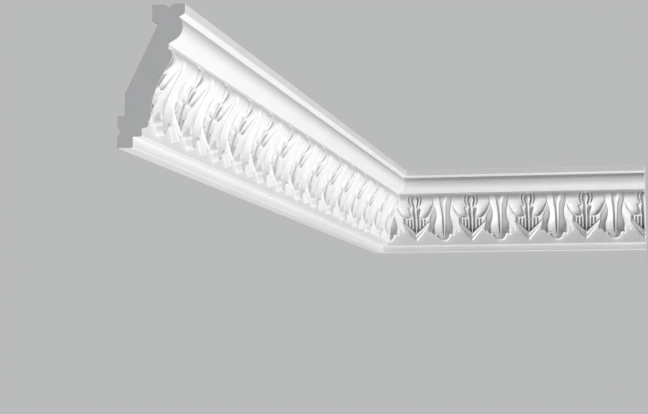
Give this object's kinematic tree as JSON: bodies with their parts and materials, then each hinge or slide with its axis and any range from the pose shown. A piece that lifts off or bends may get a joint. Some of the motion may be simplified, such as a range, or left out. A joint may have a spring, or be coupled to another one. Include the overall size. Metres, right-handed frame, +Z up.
{
  "type": "cornice moulding section",
  "caption": "Leaf-and-dart carved cornice moulding: a long and a short length mitred at the inside corner of a room, hollow behind, square-cut ends.",
  "frame": {"origin": "inside corner of the room, where the backs of both wall feet meet, at their underside", "axes": "+Z up to the ceiling, -Y along the long length, +X along the short length and out from the long length's wall"},
  "size_m": [0.34, 0.973, 0.1],
  "materials": {
    "moulding": "matt white primed"
  },
  "bodies": {
    "root": {"long_length": "moulding", "short_length": "moulding"}
  },
  "joints": []
}
